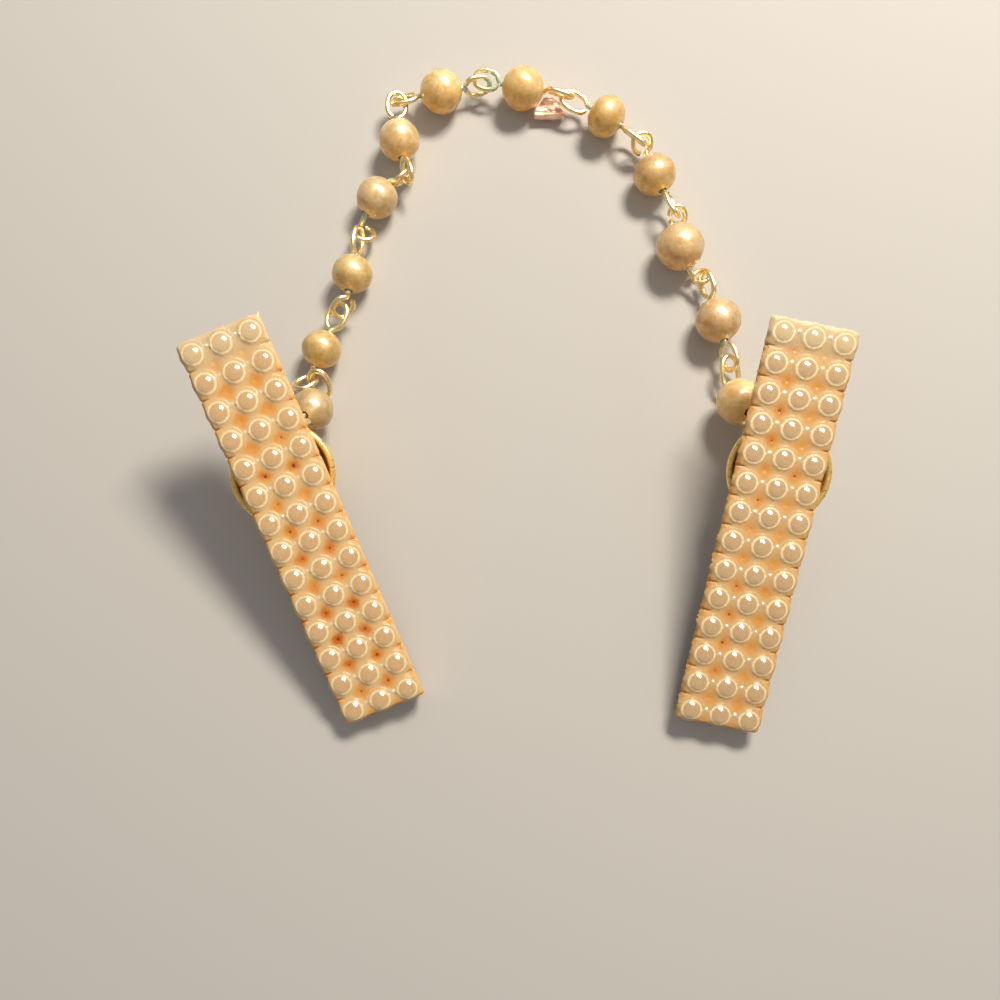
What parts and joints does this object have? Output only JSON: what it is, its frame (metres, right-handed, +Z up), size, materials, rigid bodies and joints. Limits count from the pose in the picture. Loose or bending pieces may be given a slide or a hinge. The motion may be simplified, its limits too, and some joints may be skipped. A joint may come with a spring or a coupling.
{
  "type": "sweater clip",
  "caption": "Vintage sweater guard: two moulded half-pearl bars on round spring clips, joined by a chain of imitation pearls on wire eyes, lying on a surface.",
  "frame": {"origin": "middle of the box that holds the whole object as it lies, on the surface under it", "axes": "+Z up, +Y away from the viewer from the lower ends of the bars to the loop of the chain, +X to the right bar"},
  "size_m": [0.0773, 0.088, 0.0183],
  "materials": {
    "ivory_plastic": "glossy moulded ivory plastic, yellowed, with brown grime in the valleys",
    "cement": "aged brown cement, dull and grainy",
    "gold_plate": "gold-tone plate, worn and tarnished",
    "spring_steel": "dull spring wire",
    "pearl_coat": "champagne pearl coating, mottled and chipped",
    "copper": "pinkish copper sheet, crumpled",
    "gold_wire": "pale brass wire with dark tarnish and green verdigris"
  },
  "bodies": {
    "root": {"copper_scrap": "copper", "bar_left": "ivory_plastic", "bar_right": "ivory_plastic", "cement_left": "cement", "cement_right": "cement", "dish_left": "gold_plate", "dish_right": "gold_plate", "pin_left": "gold_plate", "pin_right": "gold_plate", "pearl_01": "pearl_coat", "pearl_02": "pearl_coat", "pearl_03": "pearl_coat", "pearl_04": "pearl_coat", "pearl_05": "pearl_coat", "pearl_06": "pearl_coat", "pearl_07": "pearl_coat", "pearl_08": "pearl_coat", "pearl_09": "pearl_coat", "pearl_10": "pearl_coat", "pearl_11": "pearl_coat", "pearl_12": "pearl_coat", "link_01": "gold_wire", "link_02": "gold_wire", "link_03": "gold_wire", "link_04": "gold_wire", "link_05": "gold_wire", "link_06": "gold_wire", "link_07": "gold_wire", "link_08": "gold_wire", "link_09": "gold_wire", "link_10": "gold_wire", "link_11": "gold_wire", "link_12": "gold_wire"},
    "jaw_left": {"jaw_left": "gold_plate", "spring_left": "spring_steel"},
    "jaw_right": {"jaw_right": "gold_plate", "spring_right": "spring_steel"}
  },
  "joints": [
    {"name": "jaw_left_hinge", "type": "hinge", "parent": "root", "child": "jaw_left", "pos_m": [-0.02992, -0.00984, 0.00603], "axis": [0.8292, 0.5439, 0.1291], "range_deg": [0, 30], "stiffness_Nm_per_rad": 0.02, "springref_deg": -28.65},
    {"name": "jaw_right_hinge", "type": "hinge", "parent": "root", "child": "jaw_right", "pos_m": [0.03267, -0.00924, 0.00607], "axis": [0.9173, -0.3863, -0.0967], "range_deg": [0, 30], "stiffness_Nm_per_rad": 0.02, "springref_deg": -28.65}
  ]
}
